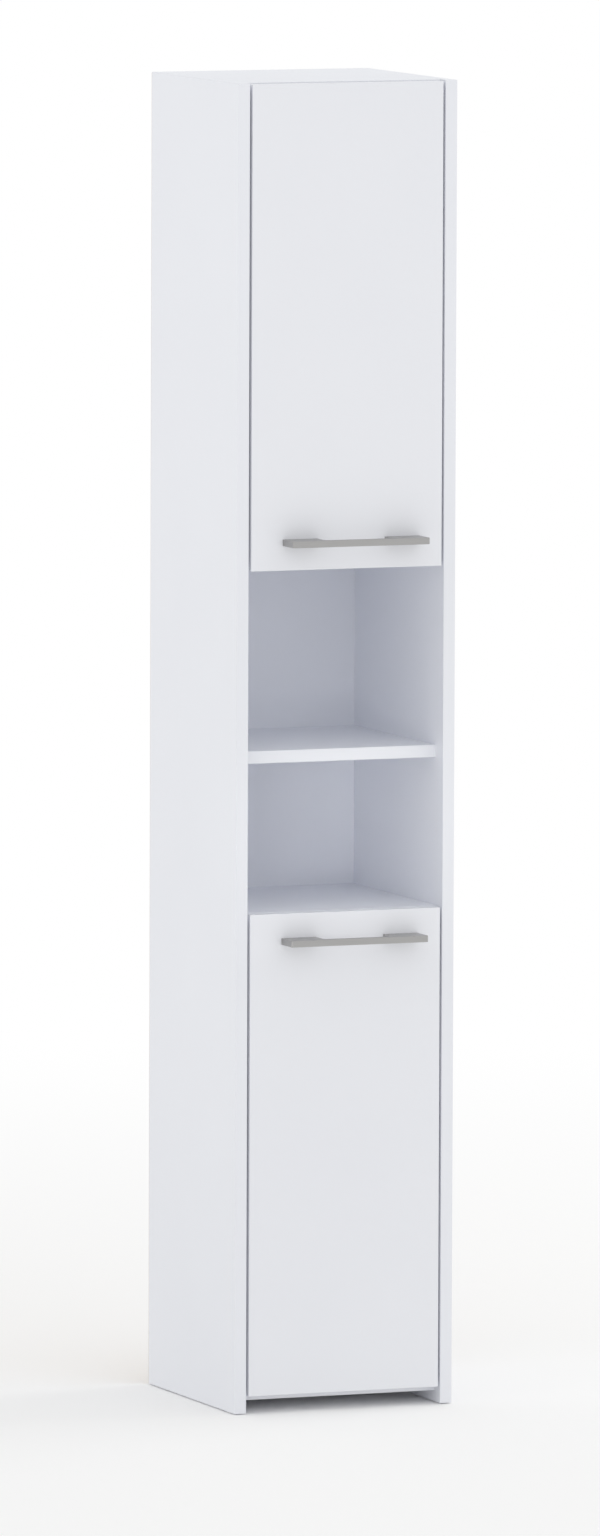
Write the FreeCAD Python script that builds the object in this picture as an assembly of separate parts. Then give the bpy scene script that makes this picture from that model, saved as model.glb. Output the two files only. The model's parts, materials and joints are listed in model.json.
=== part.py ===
import FreeCAD, Part
import math
import os

# Tall bathroom cabinet: two inset doors with an open niche in two levels between them.
# Millimetres. X runs from the left side to the right side, Y from front to back, Z up.
# The origin lies on the floor in the middle of the whole outline, handles included.

V = FreeCAD.Vector

# ---- driving dimensions: carcass ----
CABINET_H = 1700.0
CABINET_W = 300.0
SIDE_DEPTH = 300.0
BOARD_T = 16.0
BACK_T = 3.0
BACK_INSET = 1.0          # back panel stays this far inside the outline
BACK_FLOOR_GAP = 3.0
BOTTOM_CLEAR = 16.0       # floor to the underside of the bottom panel
LOWER_ROOM_H = 594.0      # clear heights, from the bottom panel upwards
LOWER_NICHE_H = 190.0
UPPER_NICHE_H = 232.0
NICHE_SHELF_SETBACK = 26.0
EDGE_ROUND = 0.8          # rounding of the board edges that a hand meets

# ---- driving dimensions: doors ----
DOOR_T = 16.0
HINGE_SIDE_GAP = 3.5
FREE_SIDE_GAP = 3.0
UPPER_DOOR_REVEAL = 1.5   # upper door to the cabinet's top
LOWER_DOOR_REVEAL = 0.5   # lower door to the top of the lower divider
LOWER_DOOR_RAISE = 7.0    # bottom panel's edge that shows under the lower door
DOOR_REAR_GAP = 2.0       # door back to the front edges of the horizontal panels

# ---- driving dimensions: handles ----
HANDLE_L = 188.0
HANDLE_H = 8.5
HANDLE_REACH = 35.0
HANDLE_BAR_T = 8.0
HANDLE_FOOT_W = 48.0
HANDLE_SCREW_INSET = 14.0 # handle end to the nearest screw
HANDLE_INNER_R = 7.0
HANDLE_OUTER_R = 1.2
HANDLE_EDGE_ROUND = 0.7
HANDLE_EDGE_DIST = 35.5   # handle axis to the nearest door end
HANDLE_OFFSET = 6.0       # towards the free side of the door
HANDLE_SCREW_R = 2.0
HANDLE_SCREW_DEPTH = 12.0
HANDLE_HEAD_R = 4.0
HANDLE_HEAD_T = 2.2
SCREW_CLEAR = 0.25

# ---- driving dimensions: shelves and their pins ----
LOOSE_SHELF_SETBACK = 22.0
LOOSE_SHELF_END_GAP = 1.0
PIN_R = 2.5
PIN_IN = 8.0
PIN_OUT = 9.0
PIN_COLLAR_R = 4.0
PIN_COLLAR_T = 0.8
HOLE_PITCH = 32.0
HOLE_ROW_INSET = 37.0

# ---- driving dimensions: joinery ----
CAM_R = 7.5
CAM_T = 12.5
CAM_REACH = 24.0          # panel end to the cam's axis
CAM_INSET = 50.0          # panel front and rear edges to the nearest cam
CAM_SLOT_W = 1.4
CAM_SLOT_L = 9.0
CAM_SLOT_T = 2.0
BOLT_R = 3.0
BOLT_THREAD_R = 2.5
BOLT_THREAD_L = 11.0
BOLT_CLEAR = 0.5
DOWEL_R = 4.0
DOWEL_IN_SIDE = 11.0
DOWEL_IN_PANEL = 19.0
NAIL_R = 0.7
NAIL_L = 18.0
NAIL_HEAD_R = 2.2
NAIL_HEAD_T = 0.7
NAIL_PITCH = 150.0
NAIL_END = 30.0
GLIDE_R = 7.0
GLIDE_T = 1.5
GLIDE_EDGE = 25.0
GLIDE_PIN_R = 1.0
GLIDE_PIN_L = 14.0

# ---- driving dimensions: wall brackets under the top panel ----
BRACKET_W = 20.0
BRACKET_LEG = 26.0
BRACKET_T = 1.5
BRACKET_SIDE_DIST = 62.0  # bracket axis to the inner face of the nearest side
WALL_HOLE_R = 2.75
WOOD_SCREW_R = 1.75
WOOD_SCREW_L = 14.0
WOOD_SCREW_HEAD_R = 3.4
WOOD_SCREW_HEAD_T = 1.6

# ---- driving dimensions: concealed hinges ----
HINGE_END_DIST = 95.0     # cup axis to the nearest door end
CUP_R = 17.5
CUP_T = 11.5
CUP_WALL = 0.8
CUP_EDGE = 4.0            # door edge to the rim of the cup
CUP_FLANGE_T = 1.2
CUP_FLANGE_L = 62.0
CUP_FLANGE_W = 20.0
CUP_SCREW_SPACING = 48.0
CUP_SCREW_OFFSET = 6.0
CUP_SCREW_IN_DOOR = 10.5
CUP_PIVOT_IN = 5.3        # near rim of the cup to the cup pivot
CUP_FLOOR_PLAY = 1.0      # link eye to the floor of the cup
ARM_PIVOT_IN = 6.0        # far rim of the cup to the arm pivot
ARM_PIVOT_SINK = 0.5      # door back to the arm pivot, into the cup
PIVOT_PIN_R = 1.25
PIVOT_CLEAR = 0.05
LINK_W = 8.0
LINK_T = 1.8
LINK_EYE_R = 2.2
LINK_BEND_ALONG = 8.0     # cup pivot to the link's bend, along the pivot line
LINK_BEND_ACROSS = 4.0    # pivot line to the link's bend, towards the door's front
SIDE_PLAY = 0.35
EYE_PLAY = 0.6
ARM_W = 14.0
ARM_T = 2.2
ARM_EYE_R = 2.9
ARM_BEND = 9.0            # these four run from the shut door's back into the cabinet
ARM_STRAIGHT = 20.0
PLATE_RIB_START = 24.0
PLATE_RIB_END = 62.0
ARM_OVERHANG = 2.0        # arm beyond the plate's rib
PLATE_T = 2.0
PLATE_RIB_T = 6.0
PLATE_RIB_W = 12.0
PLATE_WING_W = 18.0
PLATE_WING_L = 46.0
PLATE_SCREW_SPACING = 32.0
PLATE_ROW_INSET = 37.0    # door back to the plate's screw row
ARM_SCREW_R = 2.0
ARM_SCREW_HEAD_R = 3.4
ARM_SCREW_HEAD_T = 1.5
ARM_SCREW_INSET = 9.0

# ---- driving dimensions: door bumpers ----
BUMPER_R = 4.5
BUMPER_PLAY = 0.3
BUMPER_EDGE = 12.0        # free door edge to the bumper's centre
BUMPER_END = 8.0          # door end to the bumper's centre

# ---- worked out from the values above ----
INNER_W = CABINET_W - 2 * BOARD_T
HALF_INNER = INNER_W / 2
FRONT_Y = HANDLE_REACH - (HANDLE_REACH + SIDE_DEPTH + BACK_T) / 2
REAR_Y = FRONT_Y + SIDE_DEPTH
PANEL_FRONT_Y = FRONT_Y + DOOR_T + DOOR_REAR_GAP
DOOR_BACK_Y = FRONT_Y + DOOR_T
DOOR_LEFT_X = -HALF_INNER + HINGE_SIDE_GAP
DOOR_RIGHT_X = HALF_INNER - FREE_SIDE_GAP
LOWER_DIVIDER_Z = BOTTOM_CLEAR + BOARD_T + LOWER_ROOM_H
NICHE_SHELF_Z = LOWER_DIVIDER_Z + BOARD_T + LOWER_NICHE_H
UPPER_DIVIDER_Z = NICHE_SHELF_Z + BOARD_T + UPPER_NICHE_H
TOP_PANEL_Z = CABINET_H - BOARD_T
HANDLE_X = (DOOR_LEFT_X + DOOR_RIGHT_X) / 2 + HANDLE_OFFSET
HANDLE_SPACING = HANDLE_L - 2 * HANDLE_SCREW_INSET

# hinge points lie at U from the hinge edge and V from the front of the shut door
CUP_U = CUP_EDGE + CUP_R
CUP_FLOOR_V = DOOR_T - CUP_T
CUP_PIVOT_U = CUP_EDGE + CUP_PIVOT_IN
CUP_PIVOT_V = CUP_FLOOR_V + CUP_WALL + CUP_FLOOR_PLAY + LINK_EYE_R
ARM_PIVOT_U = CUP_EDGE + 2 * CUP_R - ARM_PIVOT_IN
ARM_PIVOT_V = DOOR_T - ARM_PIVOT_SINK
ARM_LINE_U = PLATE_T + PLATE_RIB_T + ARM_T / 2 - HINGE_SIDE_GAP
RIB_START_V = DOOR_T + PLATE_RIB_START
RIB_END_V = DOOR_T + PLATE_RIB_END
PLATE_ROW_V = DOOR_T + PLATE_ROW_INSET
PIVOT_PIN_HALF = ARM_W / 2

# bottom and top of each door
DOORS = {
    "upper": (UPPER_DIVIDER_Z, CABINET_H - UPPER_DOOR_REVEAL),
    "lower": (BOTTOM_CLEAR + LOWER_DOOR_RAISE, LOWER_DIVIDER_Z + BOARD_T - LOWER_DOOR_REVEAL),
}
# the handles sit by the door ends that face the niche
HANDLE_Z = {
    "upper": DOORS["upper"][0] + HANDLE_EDGE_DIST,
    "lower": DOORS["lower"][1] - HANDLE_EDGE_DIST,
}
# undersides of the panels that are fixed between the sides, with their front edges
FIXED_PANELS = {
    "bottom_panel": (BOTTOM_CLEAR, PANEL_FRONT_Y),
    "lower_divider": (LOWER_DIVIDER_Z, PANEL_FRONT_Y),
    "niche_shelf": (NICHE_SHELF_Z, FRONT_Y + NICHE_SHELF_SETBACK),
    "upper_divider": (UPPER_DIVIDER_Z, PANEL_FRONT_Y),
    "top_panel": (TOP_PANEL_Z, PANEL_FRONT_Y),
}
# undersides of the two shelves that lie on pins, midway in their compartments
LOOSE_SHELVES = {
    "lower_shelf": (BOTTOM_CLEAR + LOWER_DIVIDER_Z) / 2,
    "upper_shelf": (UPPER_DIVIDER_Z + TOP_PANEL_Z) / 2,
}


# ---- shapes that several pieces share ----
def box(x0, x1, y0, y1, z0, z1):
    return Part.makeBox(x1 - x0, y1 - y0, z1 - z0, V(x0, y0, z0))


def rod(radius, start, direction, length):
    return Part.makeCylinder(radius, length, V(*start), V(*direction))


def slab(points, z0, z1):
    wire = Part.makePolygon([V(x, y, z0) for x, y in points + points[:1]])
    return Part.Face(wire).extrude(V(0, 0, z1 - z0))


def joined(shapes):
    shape = shapes[0].fuse(shapes[1:]) if len(shapes) > 1 else shapes[0]
    return shape.removeSplitter()


def strip(points, thickness):
    """Outline of a bent strip of even thickness along the points, with mitred bends."""
    half = thickness / 2
    sides = ([], [])
    for i, (x, y) in enumerate(points):
        before = points[max(i - 1, 0)]
        after = points[min(i + 1, len(points) - 1)]
        turns = []
        for a, b in ((before, (x, y)), ((x, y), after)):
            length = math.dist(a, b)
            if length > 0:
                turns.append(((b[0] - a[0]) / length, (b[1] - a[1]) / length))
        nx = sum(-t[1] for t in turns)
        ny = sum(t[0] for t in turns)
        size = math.hypot(nx, ny)
        reach = half / (size / len(turns)) / size
        for side, sign in zip(sides, (1, -1)):
            side.append((x + sign * nx * reach, y + sign * ny * reach))
    return sides[0] + sides[1][::-1]


def long_edges(shape, direction, test):
    """Straight edges along a direction whose middle passes the test."""
    found = []
    for edge in shape.Edges:
        if not isinstance(edge.Curve, Part.Line):
            continue
        along = edge.tangentAt(edge.FirstParameter)
        if abs(along.dot(direction)) > 0.999 and test(edge.CenterOfMass):
            found.append(edge)
    return found


# ---- places that repeat ----
def cam_rows(front_y):
    return (front_y + CAM_INSET, REAR_Y - CAM_INSET)


def dowel_row(front_y):
    return (front_y + REAR_Y) / 2


def pin_rows():
    return (PANEL_FRONT_Y + HOLE_ROW_INSET, REAR_Y - HOLE_ROW_INSET)


def hinge_heights(name):
    z0, z1 = DOORS[name]
    return (z0 + HINGE_END_DIST, z1 - HINGE_END_DIST)


def handle_screw_places(name):
    z = HANDLE_Z[name]
    return [(HANDLE_X + side * HANDLE_SPACING / 2, z) for side in (-1, 1)]


def hinge_point(u, v):
    """A point of the hinge in the cabinet, from the hinge edge and front of the shut door."""
    return DOOR_LEFT_X + u, FRONT_Y + v


def bracket_places():
    return [side * (HALF_INNER - BRACKET_SIDE_DIST) for side in (-1, 1)]


def bracket_hole_z():
    return TOP_PANEL_Z - BRACKET_LEG / 2


def nail_places():
    """Nails go through the back panel into the sides and the fixed panels."""
    places = []
    low, high = BACK_FLOOR_GAP + NAIL_END, CABINET_H - BACK_INSET - NAIL_END
    count = round((high - low) / NAIL_PITCH)
    for side in (-1, 1):
        for i in range(count + 1):
            places.append((side * (HALF_INNER + BOARD_T / 2), low + i * (high - low) / count))
    for underside, _ in FIXED_PANELS.values():
        for x in (-HALF_INNER / 3, HALF_INNER / 3):
            places.append((x, underside + BOARD_T / 2))
    return places


def glide_places():
    x = HALF_INNER + BOARD_T / 2
    return [(side * x, y) for side in (-1, 1) for y in (FRONT_Y + GLIDE_EDGE, REAR_Y - GLIDE_EDGE)]


def pin_places():
    """Height of the pin axes under each loose shelf, and the side each pin stands in."""
    return [
        (side, y, underside - PIN_R)
        for underside in LOOSE_SHELVES.values()
        for side in (-1, 1)
        for y in pin_rows()
    ]


# ---- carcass ----
def side_panel(side):
    inner, outer = side * HALF_INNER, side * (HALF_INNER + BOARD_T)
    x0, x1 = min(inner, outer), max(inner, outer)
    board = box(x0, x1, FRONT_Y, REAR_Y, GLIDE_T, CABINET_H)
    front = long_edges(board, V(0, 0, 1), lambda c: c.y < FRONT_Y + 1)
    top = long_edges(board, V(0, 1, 0), lambda c: c.z > CABINET_H - 1 and abs(c.x) > HALF_INNER + 1)
    board = board.makeFillet(EDGE_ROUND, front + top)
    bores = []
    for underside, front_y in FIXED_PANELS.values():
        z = underside + BOARD_T / 2
        for y in cam_rows(front_y):
            bores.append(rod(BOLT_THREAD_R, (inner, y, z), (side, 0, 0), BOLT_THREAD_L))
        bores.append(rod(DOWEL_R, (inner, dowel_row(front_y), z), (side, 0, 0), DOWEL_IN_SIDE))
    for pin_side, y, z in pin_places():
        for step in (-1, 0, 1):
            if pin_side == side:
                start = (inner, y, z + step * HOLE_PITCH)
                bores.append(rod(PIN_R, start, (side, 0, 0), PIN_IN))
    for x, y in glide_places():
        if x * side > 0:
            bores.append(rod(GLIDE_PIN_R, (x, y, GLIDE_T), (0, 0, 1), GLIDE_PIN_L))
    if side < 0:
        bores += [bore for name in DOORS for bore in plate_screw_shanks(name)]
    bores += nail_shanks(lambda x: x * side > HALF_INNER)
    return board.cut(bores)


def fixed_panel(name):
    underside, front_y = FIXED_PANELS[name]
    middle = underside + BOARD_T / 2
    board = box(-HALF_INNER, HALF_INNER, front_y, REAR_Y, underside, underside + BOARD_T)
    edges = long_edges(board, V(1, 0, 0), lambda c: c.y < front_y + 1)
    board = board.makeFillet(EDGE_ROUND, edges)
    bores = []
    for side in (-1, 1):
        end = side * HALF_INNER
        for y in cam_rows(front_y):
            bores.append(rod(BOLT_R + BOLT_CLEAR, (end, y, middle), (-side, 0, 0), CAM_REACH))
            cam_x = end - side * CAM_REACH
            bores.append(rod(CAM_R, (cam_x, y, underside), (0, 0, 1), CAM_T))
        start = (end, dowel_row(front_y), middle)
        bores.append(rod(DOWEL_R, start, (-side, 0, 0), DOWEL_IN_PANEL))
    if name == "top_panel":
        bores += bracket_screw_shanks()
    bores += nail_shanks(lambda x: abs(x) < HALF_INNER)
    return board.cut(bores)


def loose_shelf(name):
    underside = LOOSE_SHELVES[name]
    half = HALF_INNER - LOOSE_SHELF_END_GAP
    front_y = PANEL_FRONT_Y + LOOSE_SHELF_SETBACK
    board = box(-half, half, front_y, REAR_Y - LOOSE_SHELF_END_GAP, underside, underside + BOARD_T)
    edges = long_edges(board, V(1, 0, 0), lambda c: c.y < front_y + 1)
    return board.makeFillet(EDGE_ROUND, edges)


def back_panel():
    half = CABINET_W / 2 - BACK_INSET
    sheet = box(-half, half, REAR_Y, REAR_Y + BACK_T, BACK_FLOOR_GAP, CABINET_H - BACK_INSET)
    bores = [back_nail(x, z) for x, z in nail_places()]
    for x in bracket_places():
        bores.append(rod(WALL_HOLE_R, (x, REAR_Y, bracket_hole_z()), (0, 1, 0), BACK_T))
    return sheet.cut(bores)


# ---- fasteners of the carcass ----
def back_nail(x, z):
    rear = REAR_Y + BACK_T
    shank = rod(NAIL_R, (x, rear, z), (0, -1, 0), NAIL_L)
    head = rod(NAIL_HEAD_R, (x, rear, z), (0, -1, 0), NAIL_HEAD_T)
    return joined([shank, head])


def nail_shanks(wanted):
    return [back_nail(x, z) for x, z in nail_places() if wanted(x)]


def cam_bolt(side, y, z):
    inner = side * HALF_INNER
    thread = rod(BOLT_THREAD_R, (inner, y, z), (side, 0, 0), BOLT_THREAD_L)
    shank = rod(BOLT_R, (inner, y, z), (-side, 0, 0), CAM_REACH)
    return joined([thread, shank])


def cam_lock(side, y, underside):
    x = side * (HALF_INNER - CAM_REACH)
    cam = rod(CAM_R, (x, y, underside), (0, 0, 1), CAM_T)
    bolt_way = rod(BOLT_R, (x, y, underside + BOARD_T / 2), (side, 0, 0), CAM_R)
    half_w, half_l = CAM_SLOT_W / 2, CAM_SLOT_L / 2
    top = underside + CAM_SLOT_T
    slot_x = box(x - half_l, x + half_l, y - half_w, y + half_w, underside, top)
    slot_y = box(x - half_w, x + half_w, y - half_l, y + half_l, underside, top)
    return cam.cut([bolt_way, slot_x, slot_y])


def each_cam_place():
    for underside, front_y in FIXED_PANELS.values():
        for side in (-1, 1):
            for y in cam_rows(front_y):
                yield side, y, underside


def cam_bolts():
    return [cam_bolt(side, y, underside + BOARD_T / 2) for side, y, underside in each_cam_place()]


def cam_locks():
    return [cam_lock(side, y, underside) for side, y, underside in each_cam_place()]


def dowels():
    length = DOWEL_IN_SIDE + DOWEL_IN_PANEL
    pegs = []
    for underside, front_y in FIXED_PANELS.values():
        for side in (-1, 1):
            start = (side * (HALF_INNER + DOWEL_IN_SIDE), dowel_row(front_y), underside + BOARD_T / 2)
            pegs.append(rod(DOWEL_R, start, (-side, 0, 0), length))
    return pegs


def shelf_pins():
    pins = []
    for side, y, z in pin_places():
        inner = side * HALF_INNER
        peg = rod(PIN_R, (inner + side * PIN_IN, y, z), (-side, 0, 0), PIN_IN + PIN_OUT)
        collar = rod(PIN_COLLAR_R, (inner, y, z), (-side, 0, 0), PIN_COLLAR_T)
        # the collar is cut off level with the pin's top, where the shelf lies
        reach = 2 * PIN_COLLAR_R
        above = box(inner - reach, inner + reach, y - reach, y + reach, z + PIN_R, z + reach)
        pins.append(joined([peg, collar.cut(above)]))
    return pins


def floor_glides():
    glides = []
    for x, y in glide_places():
        disc = rod(GLIDE_R, (x, y, 0), (0, 0, 1), GLIDE_T)
        pin = rod(GLIDE_PIN_R, (x, y, GLIDE_T), (0, 0, 1), GLIDE_PIN_L)
        glides.append(joined([disc, pin]))
    return glides


# ---- wall brackets ----
def bracket_screw_shanks():
    y = REAR_Y - BRACKET_LEG / 2
    z = TOP_PANEL_Z - BRACKET_T
    return [rod(WOOD_SCREW_R, (x, y, z), (0, 0, 1), WOOD_SCREW_L) for x in bracket_places()]


def wall_brackets():
    brackets = []
    top = TOP_PANEL_Z
    for x in bracket_places():
        x0, x1 = x - BRACKET_W / 2, x + BRACKET_W / 2
        flat = box(x0, x1, REAR_Y - BRACKET_LEG, REAR_Y, top - BRACKET_T, top)
        upright = box(x0, x1, REAR_Y - BRACKET_T, REAR_Y, top - BRACKET_LEG, top)
        hole_start = (x, REAR_Y - BRACKET_T, bracket_hole_z())
        hole = rod(WALL_HOLE_R, hole_start, (0, 1, 0), BRACKET_T)
        brackets.append(joined([flat, upright]).cut([hole] + bracket_screw_shanks()))
    return brackets


def bracket_screws():
    y = REAR_Y - BRACKET_LEG / 2
    z = TOP_PANEL_Z - BRACKET_T
    heads = [
        rod(WOOD_SCREW_HEAD_R, (x, y, z), (0, 0, -1), WOOD_SCREW_HEAD_T) for x in bracket_places()
    ]
    return [joined([head, shank]) for head, shank in zip(heads, bracket_screw_shanks())]


# ---- doors ----
def door_panel(name):
    board = box(DOOR_LEFT_X, DOOR_RIGHT_X, FRONT_Y, DOOR_BACK_Y, *DOORS[name])
    board = board.makeFillet(EDGE_ROUND, board.Edges)
    bores = []
    cup_x, cup_y = hinge_point(CUP_U, CUP_FLOOR_V)
    for z in hinge_heights(name):
        bores.append(rod(CUP_R, (cup_x, cup_y, z), (0, 1, 0), CUP_T))
    bores += cup_screw_shanks(name)
    for x, z in handle_screw_places(name):
        bores.append(rod(HANDLE_SCREW_R + SCREW_CLEAR, (x, FRONT_Y, z), (0, 1, 0), DOOR_T))
    return board.cut(bores)


def door_bumpers(name):
    z0, z1 = DOORS[name]
    x = DOOR_RIGHT_X - BUMPER_EDGE
    thickness = DOOR_REAR_GAP - BUMPER_PLAY
    ends = (z0 + BUMPER_END, z1 - BUMPER_END)
    return [rod(BUMPER_R, (x, DOOR_BACK_Y, z), (0, 1, 0), thickness) for z in ends]


def handle(name):
    """A flat bar on two broad feet, cut from one outline as seen from above."""
    z0, z1 = HANDLE_Z[name] - HANDLE_H / 2, HANDLE_Z[name] + HANDLE_H / 2
    left, right = HANDLE_X - HANDLE_L / 2, HANDLE_X + HANDLE_L / 2
    front = FRONT_Y - HANDLE_REACH
    body = box(left, right, front, FRONT_Y, z0, z1)
    outer = long_edges(body, V(0, 0, 1), lambda c: c.y < front + 1)
    body = body.makeFillet(HANDLE_OUTER_R, outer)
    gap_left, gap_right = left + HANDLE_FOOT_W, right - HANDLE_FOOT_W
    bar_back = front + HANDLE_BAR_T
    gap = box(gap_left, gap_right, bar_back, FRONT_Y, z0, z1)
    inner = long_edges(gap, V(0, 0, 1), lambda c: c.y < bar_back + 1)
    body = body.cut(gap.makeFillet(HANDLE_INNER_R, inner))
    rims = [
        e for e in body.Edges
        if min(abs(e.CenterOfMass.z - z0), abs(e.CenterOfMass.z - z1)) < 0.01
        and e.CenterOfMass.y < FRONT_Y - 0.01
    ]
    body = body.makeFillet(HANDLE_EDGE_ROUND, rims)
    holes = [
        rod(HANDLE_SCREW_R, (x, FRONT_Y, z), (0, -1, 0), HANDLE_SCREW_DEPTH)
        for x, z in handle_screw_places(name)
    ]
    return body.cut(holes)


def handle_screws(name):
    screws = []
    for x, z in handle_screw_places(name):
        length = DOOR_T + HANDLE_SCREW_DEPTH
        shank = rod(HANDLE_SCREW_R, (x, DOOR_BACK_Y, z), (0, -1, 0), length)
        head = rod(HANDLE_HEAD_R, (x, DOOR_BACK_Y, z), (0, 1, 0), HANDLE_HEAD_T)
        screws.append(joined([shank, head]))
    return screws


# ---- concealed hinges: a plate and an arm on the side, a link, and a cup in the door ----
def cup_screw_places(name):
    x, _ = hinge_point(CUP_U + CUP_SCREW_OFFSET, 0)
    half = CUP_SCREW_SPACING / 2
    return [(x, z + end * half) for z in hinge_heights(name) for end in (-1, 1)]


def cup_screw_shanks(name):
    start = DOOR_BACK_Y + CUP_FLANGE_T
    length = CUP_FLANGE_T + CUP_SCREW_IN_DOOR
    return [rod(WOOD_SCREW_R, (x, start, z), (0, -1, 0), length) for x, z in cup_screw_places(name)]


def cup_screws(name):
    screws = []
    for shank, (x, z) in zip(cup_screw_shanks(name), cup_screw_places(name)):
        start = (x, DOOR_BACK_Y + CUP_FLANGE_T, z)
        screws.append(joined([shank, rod(WOOD_SCREW_HEAD_R, start, (0, 1, 0), WOOD_SCREW_HEAD_T)]))
    return screws


def hinge_cup(z, name):
    x, floor_y = hinge_point(CUP_U, CUP_FLOOR_V)
    shell = rod(CUP_R, (x, floor_y, z), (0, 1, 0), CUP_T)
    half_w, half_l = CUP_FLANGE_W / 2, CUP_FLANGE_L / 2
    flange_x = x + CUP_SCREW_OFFSET / 2
    flange = box(
        flange_x - half_w, flange_x + half_w, DOOR_BACK_Y, DOOR_BACK_Y + CUP_FLANGE_T,
        z - half_l, z + half_l,
    )
    hollow = rod(CUP_R - CUP_WALL, (x, floor_y + CUP_WALL, z), (0, 1, 0), CUP_T + CUP_FLANGE_T)
    cup = joined([shell, flange]).cut(hollow)
    # two lugs from the wall carry the pivot pin on either side of the link
    pin_x, pin_y = hinge_point(CUP_PIVOT_U, CUP_PIVOT_V)
    lug_in = LINK_W / 2 + SIDE_PLAY
    lugs = []
    for end in (-1, 1):
        low, high = sorted((z + end * lug_in, z + end * PIVOT_PIN_HALF))
        lugs.append(box(x - CUP_R, pin_x + LINK_EYE_R, floor_y, pin_y + LINK_EYE_R, low, high))
    bowl = rod(CUP_R, (x, floor_y, z), (0, 1, 0), CUP_T)
    cup = joined([cup] + [lug.common(bowl) for lug in lugs])
    return cup.cut([pivot_pin(CUP_PIVOT_U, CUP_PIVOT_V, z)] + cup_screw_shanks(name))


def pivot_pin(u, v, z):
    x, y = hinge_point(u, v)
    return rod(PIVOT_PIN_R, (x, y, z - PIVOT_PIN_HALF), (0, 0, 1), 2 * PIVOT_PIN_HALF)


def hinge_link(z):
    arm = hinge_point(ARM_PIVOT_U, ARM_PIVOT_V)
    cup = hinge_point(CUP_PIVOT_U, CUP_PIVOT_V)
    length = math.dist(arm, cup)
    along = ((cup[0] - arm[0]) / length, (cup[1] - arm[1]) / length)
    across = (-along[1], along[0])
    bend = tuple(
        cup[i] - along[i] * LINK_BEND_ALONG + across[i] * LINK_BEND_ACROSS for i in (0, 1)
    )
    z0, z1 = z - LINK_W / 2, z + LINK_W / 2
    web = slab(strip([arm, bend, cup], LINK_T), z0, z1)
    eyes = [rod(LINK_EYE_R, (x, y, z0), (0, 0, 1), LINK_W) for x, y in (arm, cup)]
    holes = [rod(PIVOT_PIN_R + PIVOT_CLEAR, (x, y, z0), (0, 0, 1), LINK_W) for x, y in (arm, cup)]
    return joined([web] + eyes).cut(holes)


def arm_screw_places():
    return (RIB_START_V + ARM_SCREW_INSET, RIB_END_V - ARM_SCREW_INSET)


def arm_screw_shanks(z):
    top = -HALF_INNER + PLATE_T + PLATE_RIB_T + ARM_T
    length = PLATE_RIB_T + ARM_T
    shanks = []
    for v in arm_screw_places():
        shanks.append(rod(ARM_SCREW_R, (top, FRONT_Y + v, z), (-1, 0, 0), length))
    return shanks


def hinge_arm(z):
    path = [
        hinge_point(ARM_PIVOT_U, ARM_PIVOT_V),
        hinge_point(ARM_PIVOT_U, DOOR_T + ARM_BEND),
        hinge_point(ARM_LINE_U, DOOR_T + ARM_STRAIGHT),
        hinge_point(ARM_LINE_U, RIB_END_V + ARM_OVERHANG),
    ]
    z0, z1 = z - ARM_W / 2, z + ARM_W / 2
    x, y = path[0]
    eye = rod(ARM_EYE_R, (x, y, z0), (0, 0, 1), ARM_W)
    arm = joined([slab(strip(path, ARM_T), z0, z1), eye])
    reach = LINK_EYE_R + EYE_PLAY
    half = LINK_W / 2 + SIDE_PLAY
    fork = box(x - 2 * ARM_EYE_R, x + 2 * ARM_EYE_R, y - 2 * ARM_EYE_R, y + reach, z - half, z + half)
    return arm.cut([fork, pivot_pin(ARM_PIVOT_U, ARM_PIVOT_V, z)] + arm_screw_shanks(z))


def arm_screws(z):
    top = -HALF_INNER + PLATE_T + PLATE_RIB_T + ARM_T
    screws = []
    for shank, v in zip(arm_screw_shanks(z), arm_screw_places()):
        head = rod(ARM_SCREW_HEAD_R, (top, FRONT_Y + v, z), (1, 0, 0), ARM_SCREW_HEAD_T)
        screws.append(joined([shank, head]))
    return screws


def plate_screw_places(name):
    half = PLATE_SCREW_SPACING / 2
    return [z + end * half for z in hinge_heights(name) for end in (-1, 1)]


def plate_screw_shanks(name):
    x, y = -HALF_INNER + PLATE_T, FRONT_Y + PLATE_ROW_V
    return [rod(WOOD_SCREW_R, (x, y, z), (-1, 0, 0), WOOD_SCREW_L) for z in plate_screw_places(name)]


def plate_screws(name):
    x, y = -HALF_INNER + PLATE_T, FRONT_Y + PLATE_ROW_V
    screws = []
    for shank, z in zip(plate_screw_shanks(name), plate_screw_places(name)):
        screws.append(joined([shank, rod(WOOD_SCREW_HEAD_R, (x, y, z), (1, 0, 0), WOOD_SCREW_HEAD_T)]))
    return screws


def hinge_plate(z, name):
    x0, x1 = -HALF_INNER, -HALF_INNER + PLATE_T
    row = FRONT_Y + PLATE_ROW_V
    half_wing, half_l, half_rib = PLATE_WING_W / 2, PLATE_WING_L / 2, PLATE_RIB_W / 2
    y0, y1 = FRONT_Y + RIB_START_V, FRONT_Y + RIB_END_V
    wing = box(x0, x1, row - half_wing, row + half_wing, z - half_l, z + half_l)
    foot = box(x0, x1, y0, y1, z - half_rib, z + half_rib)
    rib = box(x1, x1 + PLATE_RIB_T, y0, y1, z - half_rib, z + half_rib)
    return joined([wing, foot, rib]).cut(arm_screw_shanks(z) + plate_screw_shanks(name))


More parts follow.
